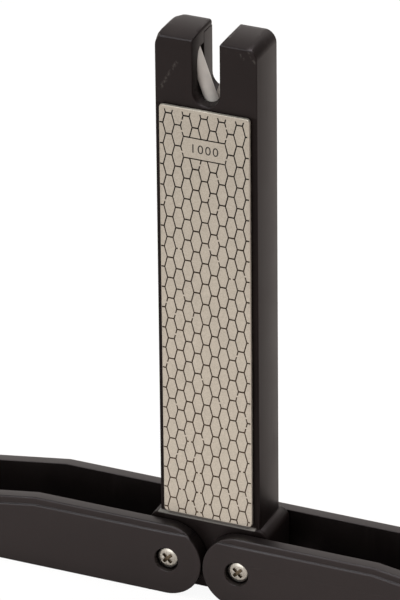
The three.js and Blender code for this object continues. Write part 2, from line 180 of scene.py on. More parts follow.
# Picture's height in pixels, the sensor's in millimetres, and the floor in metres
FRAME_HEIGHT = 600
SENSOR = 36.0
FLOOR_SIZE = 40.0
FLOOR_DROP = 0.00005
FLOOR_TINT = (1.0, 0.9, 0.84)

# Sky: strength as the camera sees it, and as reflections see it from the horizon up to the ceiling
SKY_SHOWN = 1.04
HORIZON = 1.4
CEILING = 0.25
CEILING_RISE = (0.58, 0.78)
# Colour of the reflected sky, and the share that is left of it on the right
REFLECTION_TINT = (1.0, 0.95, 0.91)
DIM_SIDE = 0.2
DIM_REACH = (0.1, 0.4)

# Lights: length of a side and place in metres, and colour
KEY_LIGHT = {"size": 0.6, "place": (0.22, 0.11, 1.15)}
FILL_LIGHT = {"size": 0.6, "place": (-0.12, -1.0, 0.32)}
EDGE_LIGHT = {"size": 0.35, "place": (-0.38, -0.48, 0.92), "colour": (0.84, 0.98, 1.0)}


def linear(red, green, blue):
    """Gives the linear colour of a screen colour in 0 to 255."""

    def channel(value):
        part = value / 255
        return part / 12.92 if part <= 0.04045 else ((part + 0.055) / 1.055) ** 2.4

    return channel(red), channel(green), channel(blue)


def colour_setting(name, description, default):
    """Declares a colour that the panel shows as a swatch."""
    limits = {"size": 3, "min": 0.0, "max": 1.0, "default": default}
    return FloatVectorProperty(name=name, description=description, subtype="COLOR", **limits)


def length_setting(name, description, millimetres):
    """Declares a length, given here in millimetres and kept in metres."""
    return FloatProperty(
        name=name,
        description=description,
        subtype="DISTANCE",
        unit="LENGTH",
        min=0.0,
        precision=5,
        default=millimetres * MILLIMETRE,
    )


def share_setting(name, description, default):
    """Declares a share between nought and one."""
    limits = {"min": 0.0, "max": 1.0, "default": default}
    return FloatProperty(name=name, description=description, subtype="FACTOR", **limits)


def angle_setting(name, description, degrees):
    """Declares an angle, given here in degrees and kept in radians."""
    return FloatProperty(
        name=name,
        description=description,
        subtype="ANGLE",
        unit="ROTATION",
        default=math.radians(degrees),
    )


def power_setting(name, description, watts):
    return FloatProperty(name=name, description=description, unit="POWER", default=watts)


class SharpenerFinishes(PropertyGroup):
    """Colours and gloss of the materials"""

    paddle_plastic: colour_setting(
        "Paddle plastic", "Body colour of the paddle's moulding", linear(19, 14, 13)
    )
    handle_plastic: colour_setting(
        "Handle plastic", "Body colour of the two handles", linear(10, 6, 5)
    )
    plastic_roughness: share_setting("Plastic roughness", "How satin the black mouldings are", 0.4)
    paddle_gloss: share_setting("Paddle gloss", "Strength of the reflections on the paddle", 0.185)
    handle_gloss: share_setting("Handle gloss", "Strength of the reflections on the handles", 0.37)
    plastic_tint: colour_setting(
        "Plastic tint", "Colour of the mouldings' reflections", (1.0, 0.885, 0.92)
    )
    # Colour of the scuffs and of the painted highlight along the ledge
    scuff_and_highlight: colour_setting("Scuffs", "Colour of the marks on the paddle's front", (0.36, 0.33, 0.3))
    side_bulge: length_setting(
        "Side bulge", "How far the paddle's sides swell, as shading only", 0.38
    )
    coating: colour_setting(
        "Diamond coating", "Colour of the plated abrasive", linear(180, 173, 162)
    )
    groove: colour_setting(
        "Cell lines", "Colour of the bare lines between the cells", linear(22, 16, 11)
    )
    ceramic: colour_setting("Ceramic", "Colour of the bars in the notch", linear(189, 182, 176))
    nickel: colour_setting("Nickel", "Colour of the screws, nuts and bushes", linear(166, 163, 156))
    # Painted shade in the screws' cross recesses
    recess_shade: colour_setting(
        "Recess shade", "Colour of the cross recesses in the screws", linear(104, 93, 78)
    )
    nylon: colour_setting("Nylon", "Colour of the washers", linear(52, 49, 46))
    adhesive: colour_setting("Adhesive", "Colour of the pads behind the plates", linear(64, 60, 56))


class SharpenerMouldings(PropertyGroup):
    """Edge radii of the moulded and turned pieces"""

    plastic_edge: length_setting("Plastic edge", "Radius on the sharp edges of the mouldings", 0.14)
    ceramic_edge: length_setting("Ceramic edge", "Radius on the sharp edges of the bars", 0.1)
    metal_edge: length_setting("Metal edge", "Radius on the sharp edges of screws and nuts", 0.06)


class SharpenerPlates(PropertyGroup):
    """Cell pattern of the abrasive plates"""

    row_pitch: length_setting("Row pitch", "Height of one cell", 5.08)
    column_step: length_setting(
        "Column step", "Distance between neighbouring columns of cells", 2.117
    )
    first_edge: length_setting(
        "First edge", "Height of the top cell edge above the plate's foot", 100.25
    )
    line_width: length_setting("Line width", "Width of the lines between cells", 0.29)
    line_depth: length_setting("Line depth", "Depth of the lines between cells", 0.08)
    side_margin: length_setting("Side margin", "Unbroken border along the plate's long edges", 0.14)
    top_margin: length_setting("Top margin", "Unbroken border at the plate's top edge", 0.85)
    foot_margin: length_setting("Foot margin", "Unbroken border at the plate's foot", 0.2)
    breaks: share_setting("Breaks", "Share of the lines that are bridged by coating", 0.08)
    seed: IntProperty(name="Seed", description="Order of the bridged lines", default=7)
    show_number: BoolProperty(
        name="Number", description="Print a grit number on the front plate", default=True
    )
    number: StringProperty(
        name="Grit number", description="Plain number on the front plate", default="1000"
    )
    number_height: length_setting("Number height", "Height of the digits", 2.1)
    number_rise: length_setting("Number rise", "How far the print stands proud", 0.012)


class SharpenerStudio(PropertyGroup):
    """Camera and lights"""

    azimuth: angle_setting("Azimuth", "Turn of the camera about the object", 23.97)
    elevation: angle_setting("Elevation", "Height of the camera above the horizon", 27.525)
    roll: angle_setting("Roll", "Tilt of the camera about its line of sight", -0.611)
    distance: length_setting("Distance", "From the camera to its target", 1416.85)
    target_side: FloatProperty(
        name="Target side",
        description="Where the camera aims, across the paddle",
        subtype="DISTANCE",
        unit="LENGTH",
        default=-4.407 * MILLIMETRE,
    )
    target_rise: length_setting("Target rise", "Where the camera aims, above the floor", 70.47)
    focal_pixels: FloatProperty(
        name="Focal length",
        description="Focal length in pixels of a picture 600 pixels high",
        subtype="PIXEL",
        default=6348.44,
    )
    sky: FloatProperty(
        name="Sky",
        description="Strength of the even light from all round",
        min=0.0,
        default=0.45,
    )
    key_power: power_setting("Key", "Power of the soft light overhead", 16.0)
    fill_power: power_setting("Fill", "Power of the soft light in front", 2.5)
    edge_power: power_setting("Edge", "Power of the light on the upper edges", 4.4)
    floor: share_setting("Floor", "How much light the floor throws back", 0.6)
    shadow: share_setting("Shadow", "How strongly the floor shows the object's shadow", 0.1)


def add_node(tree, kind, inputs=None, **settings):
    """Adds a node; inputs maps a socket to a value, to its source, or to a list of sources."""
    node = tree.nodes.new(kind)
    for key, value in settings.items():
        setattr(node, key, value)
    for key, value in (inputs or {}).items():
        socket = node.inputs[key]
        if isinstance(value, NodeSocket):
            tree.links.new(value, socket)
        elif isinstance(value, list):
            for source in value:
                tree.links.new(source, socket)
        else:
            socket.default_value = value
    return node


def computed(tree, kind, inputs, **settings):
    """Adds a node and returns its first output."""
    return add_node(tree, kind, inputs, **settings).outputs[0]


def maths(tree, operation, first, second=0.0):
    """Adds a Math node and returns its result."""
    inputs = {0: first, 1: second}
    return computed(tree, "ShaderNodeMath", inputs, operation=operation)


def multiplied(tree, first, *others):
    """Multiplies two or more numbers."""
    for other in others:
        first = maths(tree, "MULTIPLY", first, other)
    return first


def halved(tree, value):
    """Takes half of a number."""
    return multiplied(tree, value, 0.5)


def difference(tree, first, second):
    """Takes one vector from another."""
    inputs = {0: first, 1: second}
    return computed(tree, "ShaderNodeVectorMath", inputs, operation="SUBTRACT")


def scaled(tree, source, factor):
    """Scales a vector by a number."""
    inputs = {0: source, "Scale": factor}
    return computed(tree, "ShaderNodeVectorMath", inputs, operation="SCALE")


def measured(tree, operation, first, second):
    """Adds a Vector Math node and returns the number that it gives."""
    inputs = {0: first, 1: second}
    node = add_node(tree, "ShaderNodeVectorMath", inputs, operation=operation)
    return node.outputs["Value"]


def vector(tree, x=0.0, y=0.0, z=0.0):
    """Joins three numbers into a vector."""
    return computed(tree, "ShaderNodeCombineXYZ", {"X": x, "Y": y, "Z": z})


def split(tree, source):
    """Gives the X, Y and Z of a vector."""
    return add_node(tree, "ShaderNodeSeparateXYZ", {0: source}).outputs


# Materials


def shader_of(tree):
    """Finds the shader that every finish is built on."""
    return tree.nodes["Principled BSDF"]


def new_finish(name):
    """Starts a node material and returns it with its tree and its shader."""
    material = bpy.data.materials.new(name)
    material.use_nodes = True
    return material, material.node_tree, shader_of(material.node_tree)


def object_place(tree, stretch=(1.0, 1.0, 1.0)):
    """Gives the place on the piece in metres, stretched along each axis."""
    place = add_node(tree, "ShaderNodeTexCoord").outputs["Object"]
    inputs = {"Vector": place, "Scale": stretch}
    return computed(tree, "ShaderNodeMapping", inputs)


def surface_noise(tree, scale, detail=2.0, stretch=(1.0, 1.0, 1.0)):
    """Gives a noise value over the surface; the scale is features per metre."""
    inputs = {"Vector": object_place(tree, stretch), "Scale": scale, "Detail": detail}
    return computed(tree, "ShaderNodeTexNoise", inputs)


def spread(tree, value, low, high, start=0.3, end=0.7):
    """Maps a value that runs from start to end on to low to high."""
    limits = {"From Min": start, "From Max": end, "To Min": low, "To Max": high}
    return computed(tree, "ShaderNodeMapRange", {"Value": value, **limits})


def two_tone(tree, factor, first, second):
    """Mixes two colours."""
    inputs = {0: factor, 6: first, 7: second}
    return add_node(tree, "ShaderNodeMix", inputs, data_type="RGBA").outputs[2]


def shade(colour, factor):
    """Gives a lighter or darker colour with its alpha."""
    return tuple(part * factor for part in colour) + (1.0,)


def rough_up(tree, shader, height, strength, distance):
    """Raises the surface by a height value, on top of what raised it before."""
    inputs = {"Height": height, "Strength": strength, "Distance": distance}
    bump = add_node(tree, "ShaderNodeBump", inputs)
    for link in shader.inputs["Normal"].links:
        tree.links.new(link.from_socket, bump.inputs["Normal"])
    tree.links.new(bump.outputs["Normal"], shader.inputs["Normal"])


def scuff_and_highlight_line(tree, start, end, reach, strength):
    """The strength along a line on the front, fading to nought at the given reach."""
    place = object_place(tree, (1.0, 0.0, 1.0))
    first = Vector((start[0], 0.0, start[1])) * MILLIMETRE
    line = Vector((end[0], 0.0, end[1])) * MILLIMETRE - first
    offset = difference(tree, place, first)
    along = measured(tree, "DOT_PRODUCT", offset, line / line.length_squared)
    along = spread(tree, along, 0.0, 1.0, 0.0, 1.0)
    gap = measured(tree, "DISTANCE", offset, scaled(tree, line, along))
    return spread(tree, gap, strength, 0.0, 0.0, reach * MILLIMETRE)


def paint_scuffs_and_ledge_highlight(tree, shader, colour):
    """Lightens the paddle's plastic in patches along the scuffs, and evenly along the ledge as a
    painted highlight.
    """
    marks = [scuff_and_highlight_line(tree, *scuff_and_highlight) for scuff_and_highlight in SCUFFS]
    mark = marks[0]
    for other in marks[1:]:
        mark = maths(tree, "MAXIMUM", mark, other)
    patch = spread(tree, surface_noise(tree, SCUFF_SCALE, 3.0), 0.0, 1.0, *SCUFF_RANGE)
    mark = multiplied(tree, mark, patch)
    # Painted highlight along the ledge
    mark = maths(tree, "MAXIMUM", mark, scuff_and_highlight_line(tree, *LEDGE_HIGHLIGHT))
    under = shader.inputs["Base Color"].links[0].from_socket
    mixed = two_tone(tree, mark, under, shade(colour, 1.0))
    tree.links.new(mixed, shader.inputs["Base Color"])


def shade_plate_borders(tree, shader, tint):
    """Paints shade on the narrow borders of the paddle's faces beside the plates by weakening their
    reflections.
    """
    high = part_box("front_diamond_plate")[1]
    parts = split(tree, object_place(tree))
    beside = maths(tree, "GREATER_THAN", maths(tree, "ABSOLUTE", parts["X"]), high.x)
    outside = maths(tree, "GREATER_THAN", maths(tree, "ABSOLUTE", parts["Y"]), BORDER_DEPTH)
    below = maths(tree, "LESS_THAN", parts["Z"], high.z)
    chosen = multiplied(tree, beside, outside, below)
    shaded_tint = two_tone(tree, chosen, shade(tint, 1.0), shade(tint, BORDER_SHADE))
    tree.links.new(shaded_tint, shader.inputs["Specular Tint"])


def bulge_sides(tree, shader, height):
    """Bends the shading from front to rear, as if the sides were slightly round."""
    offset = maths(tree, "SUBTRACT", split(tree, object_place(tree))["Y"], BULGE_CENTRE)
    level = maths(tree, "POWER", maths(tree, "DIVIDE", offset, BULGE_REACH), 2.0)
    rough_up(tree, shader, multiplied(tree, level, -1.0), 1.0, height)


def plastic_finish(name, colour, gloss, finishes):
    """Black satin moulding with a fine grain, faint clouds and rubbed streaks."""
    material, tree, shader = new_finish(name)
    cloud = surface_noise(tree, CLOUD_SCALE)
    grain = surface_noise(tree, GRAIN_SCALE, 3.0)
    rub = surface_noise(tree, 1.0, 3.0, STREAK_STRETCH)
    streak = spread(tree, rub, 0.0, STREAK_MOST, *STREAK_RANGE)
    tones = [shade(colour, tone) for tone in CLOUD_TONES]
    body = two_tone(tree, spread(tree, cloud, 0.0, 1.0), *tones)
    worn = two_tone(tree, streak, body, shade(colour, STREAK_TONE))
    tree.links.new(worn, shader.inputs["Base Color"])
    roughness = finishes.plastic_roughness
    satin = spread(tree, cloud, roughness - CLOUD_ROUGHNESS, roughness + CLOUD_ROUGHNESS)
    rubbed = multiplied(tree, streak, STREAK_ROUGHNESS)
    tree.links.new(maths(tree, "ADD", satin, rubbed), shader.inputs["Roughness"])
    shader.inputs["Specular IOR Level"].default_value = gloss
    shader.inputs["Specular Tint"].default_value = (*finishes.plastic_tint, 1.0)
    rough_up(tree, shader, grain, GRAIN_STRENGTH, GRAIN_HEIGHT)
    return material


def coating_finish(finishes):
    """Nickel plating full of diamond grit: fine grains that catch the light."""
    material, tree, shader = new_finish("diamond_coating")
    inputs = {"Vector": object_place(tree), "Scale": GRIT_SCALE}
    grains = add_node(tree, "ShaderNodeTexVoronoi", inputs)
    tint = add_node(tree, "ShaderNodeSeparateColor", {"Color": grains.outputs["Color"]})
    cloud = surface_noise(tree, COATING_CLOUDS, 4.0)
    grit_part = multiplied(tree, tint.outputs[0], GRIT_SHARE)
    cloud_part = multiplied(tree, cloud, 1.0 - GRIT_SHARE)
    tones = [shade(finishes.coating, tone) for tone in COATING_TONES]
    colour = two_tone(tree, maths(tree, "ADD", grit_part, cloud_part), *tones)
    tree.links.new(colour, shader.inputs["Base Color"])
    # Painted light: the coating is lighter at the foot and darker at the top
    paint_light_by_height(tree, "front_diamond_plate", *COATING_LIGHT_SHARES)
    gloss = spread(tree, tint.outputs[1], *COATING_ROUGHNESS, 0.0, 1.0)
    tree.links.new(gloss, shader.inputs["Roughness"])
    shader.inputs["Metallic"].default_value = COATING_METAL
    rough_up(tree, shader, grains.outputs["Distance"], GRIT_STRENGTH, GRIT_HEIGHT)
    return material


def paint_light_by_height(tree, node, foot, top):
    """Paints light and shade into the base colour, changing it evenly from the foot of a solid to
    its top.
    """
    socket = shader_of(tree).inputs["Base Color"]
    low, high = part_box(node)
    rise = split(tree, object_place(tree))["Z"]
    share = spread(tree, rise, foot, top, low.z, high.z)
    tree.links.new(scaled(tree, socket.links[0].from_socket, share), socket)


def plain_finish(name, colour, scale, contrast, roughness, metallic=0.0, bump=0.1):
    """Material of a small piece: one colour that varies with a noise, as does its gloss."""
    material, tree, shader = new_finish(name)
    cloud = surface_noise(tree, scale, 3.0)
    tones = shade(colour, 1 - contrast), shade(colour, 1 + contrast)
    mixed = two_tone(tree, spread(tree, cloud, 0.0, 1.0), *tones)
    tree.links.new(mixed, shader.inputs["Base Color"])
    gloss = spread(tree, cloud, *(roughness * share for share in ROUGHNESS_SHARES))
    tree.links.new(gloss, shader.inputs["Roughness"])
    shader.inputs["Metallic"].default_value = metallic
    grain = surface_noise(tree, scale * FINER_GRAIN, 3.0)
    rough_up(tree, shader, grain, bump, FINER_HEIGHT)
    return material


# Meshes and pieces


def merged_mesh(node):
    """Copies a solid's mesh, joins its loose triangles and clears the lines across flat faces."""
    work = bmesh.new()
    work.from_mesh(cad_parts[node].data)
    bmesh.ops.remove_doubles(work, verts=work.verts, dist=MERGE_GAP)
    bmesh.ops.dissolve_limit(work, angle_limit=FLAT_ANGLE, verts=work.verts, edges=work.edges)
    mesh = bpy.data.meshes.new(node + "_mesh")
    work.to_mesh(mesh)
    work.free()
    return mesh


def slice_faces(work, chosen, place, across):
    """Cuts the chosen faces along a plane."""
    faces = [face for face in work.faces if chosen(face)]
    edges = dict.fromkeys(edge for face in faces for edge in face.edges)
    points = dict.fromkeys(point for face in faces for point in face.verts)
    parts = [*faces, *edges, *points]
    bmesh.ops.bisect_plane(work, geom=parts, plane_co=place, plane_no=across)


def swell_corner(work, chosen, high):
    """Moves the points of the head's left corner out to a smaller radius towards mid thickness."""
    depth = high.y - HEAD_EDGE
    faces = [face for face in work.faces if chosen(face)]
    for point in dict.fromkeys(point for face in faces for point in face.verts):
        share = max(0.0, 1.0 - (point.co.y / depth) ** SWELL_POWER)
        radius = HEAD_CORNER - LEFT_SWELL * share
        if any(face.normal.z > CROWN_UP for face in point.link_faces):
            rise = 1.0 - (high.z - point.co.z) / radius
            angle = math.asin(min(1.0, rise))
        else:
            out = HEAD_CORNER - high.x - point.co.x
            up = max(0.0, point.co.z - high.z + HEAD_CORNER)
            angle = math.atan2(up, out)
            point.co.z = high.z - radius * (1.0 - math.sin(angle))
        point.co.x = radius * (1.0 - math.cos(angle)) - high.x


def crown_head(mesh):
    """Cuts the crowned top finer and lets the head's left corner swell towards mid thickness."""
    work = bmesh.new()
    work.from_mesh(mesh)
    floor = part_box("paddle_body")[1].z - HEAD_CORNER
    head = [point.co for point in work.verts if point.co.z > floor]
    high = Vector(max(place[axis] for place in head) for axis in range(3))

    def on_crown(face):
        return face.normal.z > CROWN_UP and face.calc_center_median().z > floor

    def on_corner(face):
        centre = face.calc_center_median()
        inside = centre.x < HEAD_CORNER - high.x and centre.z > floor
        flat = abs(face.normal.y) < CORNER_LEAN
        turned = CORNER_LEAN < face.normal.z < CROWN_UP
        return inside and flat and turned

    for place in CROWN_CUTS:
        slice_faces(work, on_crown, (place, 0.0, 0.0), (1.0, 0.0, 0.0))
    for step in range(1, CORNER_CUTS):
        place = (high.y - HEAD_EDGE) * (2.0 * step / CORNER_CUTS - 1.0)
        slice_faces(work, on_corner, (0.0, place, 0.0), (0.0, 1.0, 0.0))
    work.normal_update()
    swell_corner(work, on_corner, high)
    work.to_mesh(mesh)
    work.free()


def mark_edges(mesh):
    """Gives the long sharp edges the weight that the Bevel modifier reads."""
    work = bmesh.new()
    work.from_mesh(mesh)
    weight = work.edges.layers.float.new("bevel_weight_edge")
    for edge in work.edges:
        long = edge.calc_length() > SHORT_EDGE
        if long and edge.is_manifold and edge.calc_face_angle() > SHARP_ANGLE:
            edge[weight] = 1.0
    work.to_mesh(mesh)
    work.free()


def carrier_of(mesh):
    """Puts a mesh on an object for the time that modifiers work on it."""
    carrier = bpy.data.objects.new(mesh.name, mesh)
    bpy.context.scene.collection.objects.link(carrier)
    return carrier


def plain_mesh(carrier):
    """Turns what the modifiers make into a plain mesh and removes the object that carried it."""
    depsgraph = bpy.context.evaluated_depsgraph_get()
    result = carrier.evaluated_get(depsgraph)
    settings = {"preserve_all_data_layers": True, "depsgraph": depsgraph}
    mesh = bpy.data.meshes.new_from_object(result, **settings)
    bpy.data.objects.remove(carrier)
    return mesh


def rounded_mesh(node, radius, shape=None):
    """Copy of a solid, shaped first if need be, with rounded sharp edges and smooth shading."""
    mesh = merged_mesh(node)
    if shape:
        shape(mesh)
    mark_edges(mesh)
    carrier = carrier_of(mesh)
    bevel = carrier.modifiers.new("edge", "BEVEL")
    bevel.width = radius
    bevel.segments = ROUND_STEPS
    bevel.limit_method = "WEIGHT"
    bevel.use_clamp_overlap = False
    mesh = plain_mesh(carrier)
    mesh.shade_smooth()
    mesh.set_sharp_from_angle(angle=CREASE_ANGLE)
    carrier = carrier_of(mesh)
    weighted = carrier.modifiers.new("normals", "WEIGHTED_NORMAL")
    weighted.keep_sharp = True
    return plain_mesh(carrier)


def set_material(mesh, material):
    """Gives all faces of a mesh one material."""
    mesh.materials.clear()
    mesh.materials.append(material)


def place_piece(name, mesh, body, slot, *nodes):
    """Makes the finished piece, which rides on a body and stands for its solids."""
    piece = bpy.data.objects.new(name, mesh)
    bpy.context.scene.collection.objects.link(piece)
    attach(piece, body)
    if nodes:
        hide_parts(*nodes)
    return piece


def dress(node, body, slot, material, radius, shape=None):
    """Replaces a solid by its rounded copy in the given material."""
    mesh = rounded_mesh(node, radius, shape)
    set_material(mesh, material)
    return place_piece(node + "_dressed", mesh, body, slot, node)


def shade_recess(piece, node, recess_shade):
    """Gives the faces of a screw's cross recess a darker, browner finish, as painted shade."""
    low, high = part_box(node)
    middle = (low + high) / 2
    reach = RECESS_SHARE * (high.x - low.x) / 2
    piece.data.materials.append(recess_shade)
    for face in piece.data.polygons:
        offset = face.center - middle
        depth = face.center.y - low.y
        if math.hypot(offset.x, offset.z) < reach and RECESS_DEPTH < depth < RECESS_FLOOR:
            face.material_index = 1


# Cell pattern

CELL_INPUTS = {
    "NodeSocketGeometry": ("Plate",),
    "NodeSocketFloat": (
        "Row Pitch", "Column Step", "First Edge", "Line Width", "Line Depth",
        "Field Width", "Field Foot", "Field Top", "Breaks",
    ),
    "NodeSocketInt": ("Seed",),
    "NodeSocketBool": ("Number Window",),
    "NodeSocketVector": ("Turn", "Place"),
    "NodeSocketMaterial": ("Coating", "Groove"),
}


def moved(tree, geometry, place, turn=(0.0, 0.0, 0.0), scale=(1.0, 1.0, 1.0)):
    """Adds a Transform Geometry node and returns its geometry."""
    inputs = {"Geometry": geometry, "Translation": place, "Rotation": turn, "Scale": scale}
    return computed(tree, "GeometryNodeTransform", inputs)


def joined(tree, *geometries):
    """Joins geometries."""
    inputs = {"Geometry": list(geometries)}
    return computed(tree, "GeometryNodeJoinGeometry", inputs)


def block(tree, size, place):
    """A box of the given size about a place."""
    cube = computed(tree, "GeometryNodeMeshCube", {"Size": size})
    return moved(tree, cube, place)


def cut(tree, body, *tools):
    """Cuts closed meshes out of another."""
    inputs = {"Mesh 1": body, "Mesh 2": list(tools)}
    settings = {"operation": "DIFFERENCE", "solver": "MANIFOLD"}
    return computed(tree, "GeometryNodeMeshBoolean", inputs, **settings)


def point_grid(tree, columns, step, pitch, middle):
    """Grid of cell centres, two column steps apart across and one row pitch apart up."""
    inputs = {
        "Size X": multiplied(tree, step, 2.0 * (columns - 1)),
        "Size Y": multiplied(tree, pitch, CELL_ROWS - 1.0),
        "Vertices X": columns,
        "Vertices Y": CELL_ROWS,
    }
    grid = computed(tree, "GeometryNodeMeshGrid", inputs)
    return moved(tree, grid, vector(tree, 0.0, middle))


def cell_centres(tree, pitch, step, first_edge):
    """Centres of all cells: neighbouring columns are half a pitch apart."""
    top = maths(tree, "ADD", first_edge, halved(tree, pitch))
    drop = multiplied(tree, pitch, (CELL_ROWS - 1) / 2)
    even_middle = maths(tree, "SUBTRACT", top, drop)
    odd_middle = maths(tree, "ADD", even_middle, halved(tree, pitch))
    even = point_grid(tree, EVEN_COLUMNS, step, pitch, even_middle)
    odd = point_grid(tree, ODD_COLUMNS, step, pitch, odd_middle)
    return joined(tree, even, odd)


def cell_blocks(tree, centres, pitch, step, line, seed):
    """One six-sided block on each centre, smaller than its cell by the line's width."""
    half_line = halved(tree, line)
    across = maths(tree, "SUBTRACT", maths(tree, "DIVIDE", step, 1.5), half_line)
    upward = maths(tree, "SUBTRACT", maths(tree, "DIVIDE", pitch, 2.0), half_line)
    upward = maths(tree, "DIVIDE", upward, math.sin(math.pi / 3))
    inputs = {"Vertices": HEXAGON, "Radius Top": CELL_TAPER, "Radius Bottom": 1.0}
    cone = computed(tree, "GeometryNodeMeshCone", {**inputs, "Depth": TOOL_HEIGHT})
    lowered = (0.0, 0.0, -TOOL_HEIGHT / 2)
    cell = moved(tree, cone, lowered, scale=vector(tree, across, upward, 1.0))
    inputs = {0: CELL_LEAST, 1: CELL_MOST, "Seed": seed}
    size = add_node(tree, "FunctionNodeRandomValue", inputs, data_type="FLOAT_VECTOR")
    inputs = {"Points": centres, "Instance": cell, "Scale": size.outputs[0]}
    cells = computed(tree, "GeometryNodeInstanceOnPoints", inputs)
    return computed(tree, "GeometryNodeRealizeInstances", {0: cells})


def line_bridges(tree, centres, pitch, step, share, seed):
    """Small blocks on a random share of the lines, where the coating runs across."""
    side = halved(tree, step)
    quarter = multiplied(tree, pitch, 0.25)
    places = (
        vector(tree, 0.0, halved(tree, pitch)),
        vector(tree, side, quarter),
        vector(tree, multiplied(tree, side, -1.0), quarter),
    )
    points = joined(tree, *(moved(tree, centres, place) for place in places))
    inputs = {"Probability": share, "Seed": seed}
    chosen = add_node(tree, "FunctionNodeRandomValue", inputs, data_type="BOOLEAN")
    bridge = computed(tree, "GeometryNodeMeshCube", {"Size": BRIDGE_SIZE})
    inputs = {"Points": points, "Instance": bridge, "Selection": chosen.outputs[3]}
    bridges = computed(tree, "GeometryNodeInstanceOnPoints", inputs)
    return computed(tree, "GeometryNodeRealizeInstances", {0: bridges})


def number_window(tree, pitch, step, first_edge, line, depth):
    """The fill of the number's window and the two lines that bound it."""
    width = multiplied(tree, step, WINDOW_STEPS)
    middle = maths(tree, "SUBTRACT", first_edge, multiplied(tree, pitch, WINDOW_DROP))
    fill_size = vector(tree, width, maths(tree, "SUBTRACT", pitch, line), TOOL_HEIGHT)
    fill = block(tree, fill_size, vector(tree, 0.0, middle))
    line_size = vector(tree, width, line, multiplied(tree, depth, 2.0))
    half = halved(tree, pitch)
    edges = [
        block(tree, line_size, vector(tree, 0.0, maths(tree, sign, middle, half)))
        for sign in ("ADD", "SUBTRACT")
    ]
    return fill, edges


def shown_if(tree, switch, geometry):
    """Lets a geometry through where the switch is on."""
    inputs = {"Switch": switch, "True": geometry}
    return computed(tree, "GeometryNodeSwitch", inputs)


def cell_tree():
    """Node tree that cuts the lines between six-sided cells into a plate."""
    tree = bpy.data.node_groups.new("abrasive_cells", "GeometryNodeTree")
    for kind, names in CELL_INPUTS.items():
        for name in names:
            tree.interface.new_socket(name, in_out="INPUT", socket_type=kind)
    tree.interface.new_socket("Plate", in_out="OUTPUT", socket_type="NodeSocketGeometry")
    given = add_node(tree, "NodeGroupInput").outputs
    pitch, step, first = given["Row Pitch"], given["Column Step"], given["First Edge"]
    line, depth, seed = given["Line Width"], given["Line Depth"], given["Seed"]
    centres = cell_centres(tree, pitch, step, first)
    cells = cell_blocks(tree, centres, pitch, step, line, seed)
    bridges = line_bridges(tree, centres, pitch, step, given["Breaks"], seed)
    fill, edges = number_window(tree, pitch, step, first, line, depth)
    fill = shown_if(tree, given["Number Window"], fill)
    edges = shown_if(tree, given["Number Window"], joined(tree, *edges))
    field_height = maths(tree, "SUBTRACT", given["Field Top"], given["Field Foot"])
    field_middle = maths(tree, "ADD", given["Field Top"], given["Field Foot"])
    field_middle = halved(tree, field_middle)
    thickness = maths(tree, "ADD", depth, CUTTER_RISE)
    level = multiplied(tree, maths(tree, "SUBTRACT", CUTTER_RISE, depth), 0.5)
    field_size = vector(tree, given["Field Width"], field_height, thickness)
    field = block(tree, field_size, vector(tree, 0.0, field_middle, level))
    lines = cut(tree, field, cells, fill, bridges)
    lines = moved(tree, lines, given["Place"], given["Turn"])
    edges = moved(tree, edges, given["Place"], given["Turn"])
    plate = cut(tree, given["Plate"], lines, edges)
    plate = computed(tree, "GeometryNodeRealizeInstances", {0: plate})
    inputs = {"Geometry": plate, "Material": given["Coating"]}
    plate = computed(tree, "GeometryNodeSetMaterial", inputs)
    inputs = {
        "Geometry": plate,
        "Selection": line_faces(tree, given, field_height, field_middle),
        "Material": given["Groove"],
    }
    plate = computed(tree, "GeometryNodeSetMaterial", inputs)
    add_node(tree, "NodeGroupOutput", {"Plate": plate})
    return tree


def line_faces(tree, given, field_height, field_middle):
    """Picks the faces inside the field that lie just below the plate's face."""
    width, depth = given["Field Width"], given["Line Depth"]
    place = add_node(tree, "GeometryNodeInputPosition").outputs[0]
    parts = split(tree, difference(tree, place, given["Place"]))
    side = maths(tree, "ABSOLUTE", parts["X"])
    inside = maths(tree, "LESS_THAN", side, multiplied(tree, width, FIELD_HALF))
    below = maths(tree, "ABSOLUTE", parts["Y"])
    under = maths(tree, "GREATER_THAN", below, multiplied(tree, depth, LINE_LEAST))
    near = maths(tree, "LESS_THAN", below, multiplied(tree, depth, LINE_MOST))
    up = maths(tree, "ABSOLUTE", maths(tree, "SUBTRACT", parts["Z"], field_middle))
    along = maths(tree, "LESS_THAN", up, multiplied(tree, field_height, FIELD_HALF))
    return multiplied(tree, inside, along, near, under)


def cell_values(plates, low, high):
    """Values that the cell pattern takes from the settings and from the plate's box."""
    return {
        "Row Pitch": plates.row_pitch,
        "Column Step": plates.column_step,
        "First Edge": plates.first_edge,
        "Line Width": plates.line_width,
        "Line Depth": plates.line_depth,
        "Field Width": high.x - low.x - 2 * plates.side_margin,
        "Field Foot": plates.foot_margin,
        "Field Top": high.z - low.z - plates.top_margin,
        "Breaks": plates.breaks,
        "Seed": plates.seed,
    }


def set_inputs(modifier, values):
    """Sets a node modifier's inputs by their identifiers."""
    for item in modifier.node_group.interface.items_tree:
        if item.name in values and item.in_out == "INPUT":
            modifier[item.identifier] = values[item.name]


# Operators


